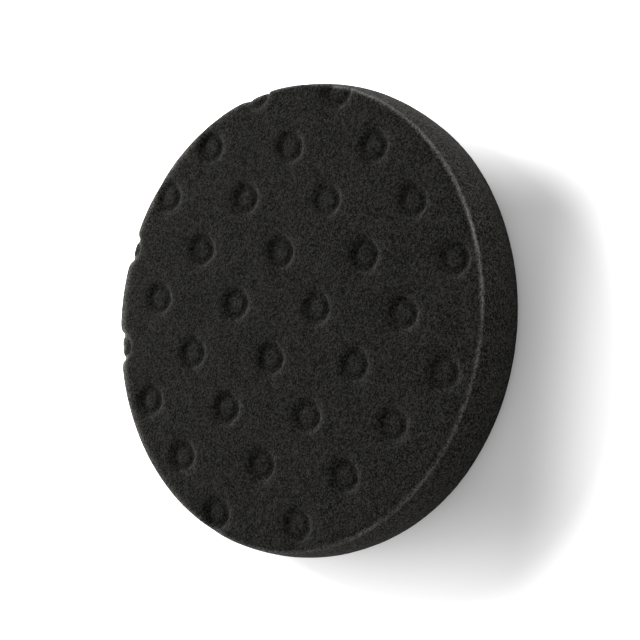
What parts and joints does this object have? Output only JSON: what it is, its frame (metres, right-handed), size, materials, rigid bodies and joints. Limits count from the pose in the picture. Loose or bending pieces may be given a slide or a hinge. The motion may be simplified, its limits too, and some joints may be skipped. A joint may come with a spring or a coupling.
{
  "type": "polishing pad",
  "caption": "Round flat foam polishing pad with rows of pressed pockets in its working face and a hook-and-loop backing, for a car polisher.",
  "frame": {"origin": "centre of the loop side, which the pad lies on and which the backing plate grips", "axes": "+Z along the pad's axis, out of the working face; +X and +Y along the square grid that the pockets sit on"},
  "size_m": [0.168, 0.168, 0.0246],
  "materials": {
    "foam": "matte",
    "adhesive": "satin",
    "cloth": "matte",
    "loops": "matte"
  },
  "bodies": {
    "root": {"foam_disc": "foam", "adhesive_film": "adhesive", "backing_cloth": "cloth", "loop_pile": "loops"}
  },
  "joints": []
}
